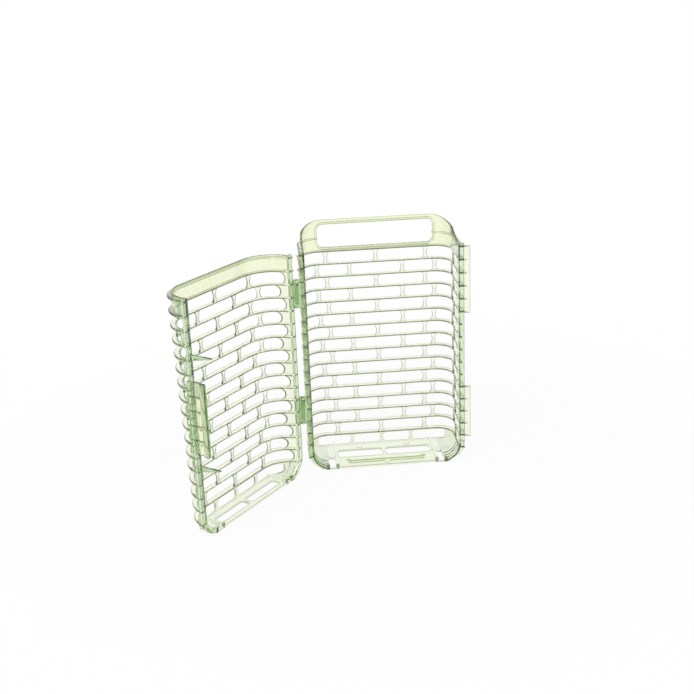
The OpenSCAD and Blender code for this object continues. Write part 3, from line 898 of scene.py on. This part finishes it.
def join(operation, first, *others):
    thing = as_object("step", first)
    for forms in others:
        thing = combined(thing, as_object("other", forms), operation)
    return [form_of(thing)]


def cut(forms, *cutters):
    return join("DIFFERENCE", forms, *cutters)


def shaded(forms, share, tone):
    """The forms with one share of painted shade and one tone on all their faces."""
    return [(points, faces, [share] * len(faces), [tone] * len(faces))
            for points, faces, *_ in forms]


# ---- the two trays ----


def tray_layers(depth, corner, side_bars, sill, slot_d, greens, top_of):
    """The forms that both trays share, in layers whose forms don't touch."""
    ribs = [hoop(k, depth, corner) for k in range(-1, RIB_COUNT + 1)]
    rims = [rim_strip(-1, *greens[0]), rim_strip(1, *greens[1])]
    return [ribs, rows(depth, corner, side_bars), rims, tub(depth, corner, sill, slot_d),
            floor_lines(sill, slot_d) + corner_lines(depth), foot_ribs(depth), foot_ends(),
            [wall_sheet(depth + lean(LEDGE_Z), corner, top_of)]]


def deep_tray():
    depth = DEEP_DEPTH + lean(LEDGE_Z)
    layers = tray_layers(DEEP_DEPTH, DEEP_R, True, DEEP_SILL, FLOOR_SLOT_D, DEEP_GREENS,
                         handle_top(depth))
    whole = cut(join("UNION", *layers), shaded([grip_hole(depth)], FLAT, CREAM), [hook_room()])
    plates, stubs = finger_tabs()
    return join("UNION", whole, [grip_ring(depth)], plates + bosses(),
                stubs + ledge_ends() + pads(), clips() + [floor_bar()])


def door_tray():
    layers = tray_layers(DOOR_DEPTH, DOOR_R, False, DOOR_SILL, DOOR_SLOT_D, DOOR_GREENS,
                         lambda x, y: TOP_Z)
    rods, cheeks = pins()
    roots, blades = spikes()
    root, plate, strip, hook, cross = latch()
    return join("UNION", *layers, ledge_ends() + root + roots + cheeks, plate + blades + rods,
                strip, hook, cross, hinge_roots())


def deep_place(p):
    return (p[0] * MM, (p[1] - DEEP_SILL / 2) * MM, p[2] * MM)


def door_place(p):
    """The door's own frame, mirrored and turned open about the hinge."""
    turn = radians(-OPEN_ANGLE_DEG)
    x, y = p[0] - HINGE_X, -p[1] - RIM_GAP / 2
    return ((HINGE_X + x * cos(turn) - y * sin(turn)) * MM,
            (-DEEP_SILL / 2 - RIM_GAP / 2 + x * sin(turn) + y * cos(turn)) * MM, p[2] * MM)


def under_shade_share(normal_z, tone):
    """How much painted under shade an edge takes for facing down: all on a rib, little on a bar
    or rim."""
    return unit((UNDER_START - normal_z) / UNDER_SPAN) * (UNDER_BAR if tone >= CLEAR else 1)


def tray_piece(name, forms, place, material):
    piece = as_object(name, forms, place)
    mesh = piece.data
    edges, tones = ([v.value for v in mesh.attributes[kind].data]
                    for kind in ("edge_shade_share", "tone"))
    # Faces that face down, and shares above EDGE, get the painted under shade.
    unders = [max(under_shade_share(p.normal.z, tone), edge - EDGE)
              for p, edge, tone in zip(mesh.polygons, edges, tones)]
    mesh.attributes.new("under_shade_share", "FLOAT", "FACE").data.foreach_set("value", unders)
    mesh.materials.append(material)
    mesh.shade_smooth()
    mesh.set_sharp_from_angle(angle=radians(SHADE_ANGLE_DEG))
    return piece


# ---- studio ----


def add_camera():
    data = bpy.data.cameras.new("studio_camera")
    data.lens = LENS_MM
    data.sensor_width = SENSOR_MM
    data.clip_start = CAMERA_NEAR
    data.clip_end = CAMERA_FAR
    camera = bpy.data.objects.new("studio_camera", data)
    camera.location = CAMERA_PLACE
    camera.rotation_euler = Euler([radians(turn) for turn in CAMERA_TURN_DEG], "XYZ")
    bpy.context.scene.collection.objects.link(camera)
    bpy.context.scene.camera = camera


def add_lamp(name, place, size, power):
    data = bpy.data.lights.new(name, "AREA")
    data.shape = "RECTANGLE"
    data.size, data.size_y = size
    data.energy = power
    lamp = bpy.data.objects.new(name, data)
    lamp.location = place
    way = Vector(LAMP_TARGET) - Vector(place)
    lamp.rotation_euler = way.to_track_quat("-Z", "Y").to_euler()
    bpy.context.scene.collection.objects.link(lamp)


def seen_directly(nodes, links):
    """A mask that is 1 for the camera and for what gloss and clear plastic show of the studio."""
    path = nodes.new("ShaderNodeLightPath")
    mask = path.outputs["Is Camera Ray"]
    for ray in ("Is Transmission Ray", "Is Glossy Ray"):
        both = nodes.new("ShaderNodeMath")
        both.operation = "MAXIMUM"
        links.new(mask, both.inputs[0])
        links.new(path.outputs[ray], both.inputs[1])
        mask = both.outputs[0]
    return mask


def shader_between(nodes, links, mask, first, second, surface):
    """Two shaders mixed by a mask, put out as the surface."""
    mix = nodes.new("ShaderNodeMixShader")
    links.new(mask, mix.inputs["Fac"])
    links.new(first.outputs[0], mix.inputs[1])
    links.new(second.outputs[0], mix.inputs[2])
    links.new(mix.outputs[0], surface.inputs["Surface"])


def white_light(nodes, kind, strength):
    """White light from the floor or the room."""
    light = nodes.new(kind)
    light.inputs["Color"].default_value = WHITE
    light.inputs["Strength"].default_value = strength
    return light


def map_range(nodes, links, value, ends):
    """The value brought from one range to another, as the ends say."""
    ranged = nodes.new("ShaderNodeMapRange")
    for name, end in ends.items():
        ranged.inputs[name].default_value = end
    links.new(value, ranged.inputs["Value"])
    return ranged


def studio_world():
    world = bpy.data.worlds.new("studio")
    bpy.context.scene.world = world
    world.use_nodes = True
    nodes, links = world.node_tree.nodes, world.node_tree.links
    nodes.clear()
    room = white_light(nodes, "ShaderNodeBackground", ROOM_LIGHT)
    white = white_light(nodes, "ShaderNodeBackground", WHITE_LIGHT)
    shader_between(nodes, links, seen_directly(nodes, links), room, white,
                   nodes.new("ShaderNodeOutputWorld"))


def studio_floor():
    """A pale floor that keeps the shadow near the basket and runs out into the white room."""
    size = FLOOR_HALF_W
    mesh = bpy.data.meshes.new("studio_floor")
    corners = [(-size, -size, 0), (size, -size, 0), (size, size, 0), (-size, size, 0)]
    mesh.from_pydata(corners, [], [(0, 1, 2, 3)])
    floor = bpy.data.objects.new("studio_floor", mesh)
    bpy.context.scene.collection.objects.link(floor)
    material = bpy.data.materials.new("studio_floor_paint")
    material.use_nodes = True
    nodes, links = material.node_tree.nodes, material.node_tree.links
    nodes.clear()
    paint = nodes.new("ShaderNodeBsdfPrincipled")
    paint.inputs["Base Color"].default_value = FLOOR_PAINT
    paint.inputs["Roughness"].default_value = FLOOR_ROUGHNESS
    paint.inputs["Specular IOR Level"].default_value = FLOOR_GLOSS
    white = white_light(nodes, "ShaderNodeEmission", WHITE_LIGHT)
    place = nodes.new("ShaderNodeTexCoord")
    reach = nodes.new("ShaderNodeVectorMath")
    reach.operation = "LENGTH"
    links.new(place.outputs["Object"], reach.inputs[0])
    fade = map_range(nodes, links, reach.outputs["Value"], FLOOR_FADE)
    fade.interpolation_type = "SMOOTHSTEP"
    share = nodes.new("ShaderNodeMath")
    share.operation = "MULTIPLY"
    links.new(seen_directly(nodes, links), share.inputs[0])
    links.new(fade.outputs["Result"], share.inputs[1])
    shader_between(nodes, links, share.outputs[0], paint, white,
                   nodes.new("ShaderNodeOutputMaterial"))
    mesh.materials.append(material)


# ---- plastic ----


def colour_mix(nodes, links, factor, first, second, blend="MIX"):
    """One colour mixed into another. The factor is a socket, or one number for all the surface."""
    mix = nodes.new("ShaderNodeMix")
    mix.data_type = "RGBA"
    mix.blend_type = blend
    if isinstance(factor, float):
        mix.inputs["Factor"].default_value = factor
    else:
        links.new(factor, mix.inputs["Factor"])
    links.new(first, mix.inputs["A"])
    links.new(second, mix.inputs["B"])
    return mix.outputs["Result"]


def plastic_noise(nodes, links, place, detail):
    made = nodes.new("ShaderNodeTexNoise")
    made.inputs["Detail"].default_value = detail
    links.new(place.outputs["Object"], made.inputs["Vector"])
    return made


def painted_shade_and_grain():
    """A node group: the plastic's colour with its painted green and painted edge and underside
    shade, its roughness and unevenness.
    """
    group = bpy.data.node_groups.new("painted_shade_and_grain", "ShaderNodeTree")

    def socket(name, direction, kind, value=None):
        made = group.interface.new_socket(name=name, in_out=direction, socket_type=kind)
        if value is not None:
            made.default_value = value

    for name in ("Edge Shade Share", "Under Shade Share", "Tone"):
        socket(name, "INPUT", "NodeSocketFloat", 0.0)
    for name, colour in PLASTIC_COLOURS.items():
        socket(name, "INPUT", "NodeSocketColor", colour)
    socket("Grain Scale", "INPUT", "NodeSocketFloat", GRAIN_SCALE)
    socket("Colour", "OUTPUT", "NodeSocketColor")
    socket("Roughness", "OUTPUT", "NodeSocketFloat")
    socket("Height", "OUTPUT", "NodeSocketFloat")
    nodes, links = group.nodes, group.links
    given = nodes.new("NodeGroupInput").outputs
    result = nodes.new("NodeGroupOutput").inputs
    place = nodes.new("ShaderNodeTexCoord")

    # The tone mixes in the painted green of thick plastic and the cream of the band.
    body = given["Body Colour"]
    for colour, end in (("Painted Depth Green", GREEN), ("Band Colour", CREAM)):
        part = map_range(nodes, links, given["Tone"], {"From Max": end})
        body = colour_mix(nodes, links, part.outputs["Result"], body, given[colour])
    # Painted shade: the edge shade, turned to the darker under shade where an edge faces down,
    # mixed in by its share.
    edge = colour_mix(nodes, links, given["Under Shade Share"], given["Edge Shade Colour"],
                      given["Under Shade Colour"])
    lined = colour_mix(nodes, links, given["Edge Shade Share"], body, edge)

    flow = plastic_noise(nodes, links, place, FLOW_DETAIL)
    flow.inputs["Scale"].default_value = FLOW_SCALE
    tint = map_range(nodes, links, flow.outputs["Fac"], FLOW_TINT)
    colour = colour_mix(nodes, links, 1.0, lined, tint.outputs["Result"], "MULTIPLY")
    links.new(colour, result["Colour"])

    grain = plastic_noise(nodes, links, place, GRAIN_DETAIL)
    links.new(given["Grain Scale"], grain.inputs["Scale"])
    gloss = map_range(nodes, links, grain.outputs["Fac"], GRAIN_GLOSS)
    links.new(gloss.outputs["Result"], result["Roughness"])
    links.new(grain.outputs["Fac"], result["Height"])
    return group


def clear_plastic(name, shade_and_grain):
    """The clear moulded plastic: it bends light, and its green deepens with its thickness."""
    material = bpy.data.materials.new(name)
    material.use_nodes = True
    nodes, links = material.node_tree.nodes, material.node_tree.links
    nodes.clear()
    # The base colour comes from the group, with its painted green and painted edge and under shade.
    surface = nodes.new("ShaderNodeGroup")
    surface.node_tree = shade_and_grain
    for colour_name, colour in PLASTIC_COLOURS.items():
        surface.inputs[colour_name].default_value = colour
    surface.inputs["Grain Scale"].default_value = GRAIN_SCALE
    for kind, input_name in (("edge_shade_share", "Edge Shade Share"), ("under_shade_share", "Under Shade Share"),
                             ("tone", "Tone")):
        value = nodes.new("ShaderNodeAttribute")
        value.attribute_name = kind
        links.new(value.outputs["Fac"], surface.inputs[input_name])
    plastic = nodes.new("ShaderNodeBsdfPrincipled")
    plastic.inputs["IOR"].default_value = PLASTIC_IOR
    plastic.inputs["Transmission Weight"].default_value = PLASTIC_CLEARNESS
    links.new(surface.outputs["Colour"], plastic.inputs["Base Color"])
    links.new(surface.outputs["Roughness"], plastic.inputs["Roughness"])
    bump = nodes.new("ShaderNodeBump")
    bump.inputs["Strength"].default_value = GRAIN_BUMP
    bump.inputs["Distance"].default_value = GRAIN_DEPTH
    links.new(surface.outputs["Height"], bump.inputs["Height"])
    links.new(bump.outputs["Normal"], plastic.inputs["Normal"])
    depth = nodes.new("ShaderNodeVolumeAbsorption")
    most = max(ABSORBED)
    depth.inputs["Color"].default_value = tuple(1 - a / most for a in ABSORBED) + (1.0,)
    depth.inputs["Density"].default_value = most
    out = nodes.new("ShaderNodeOutputMaterial")
    links.new(plastic.outputs[0], out.inputs["Surface"])
    links.new(depth.outputs[0], out.inputs["Volume"])
    return material


add_camera()
studio_world()
studio_floor()
for lamp in LAMPS:
    add_lamp(*lamp)
bpy.context.scene.view_settings.view_transform = "Standard"

shade_and_grain = painted_shade_and_grain()
for name, make, place, node, body in (("deep_tray", deep_tray, deep_place, "back_half", "tray"),
                                      ("door_tray", door_tray, door_place, "front_half", "door")):
    piece = tray_piece(name, make(), place, clear_plastic(body + "_plastic", shade_and_grain))
    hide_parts(node)
    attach(piece, body)
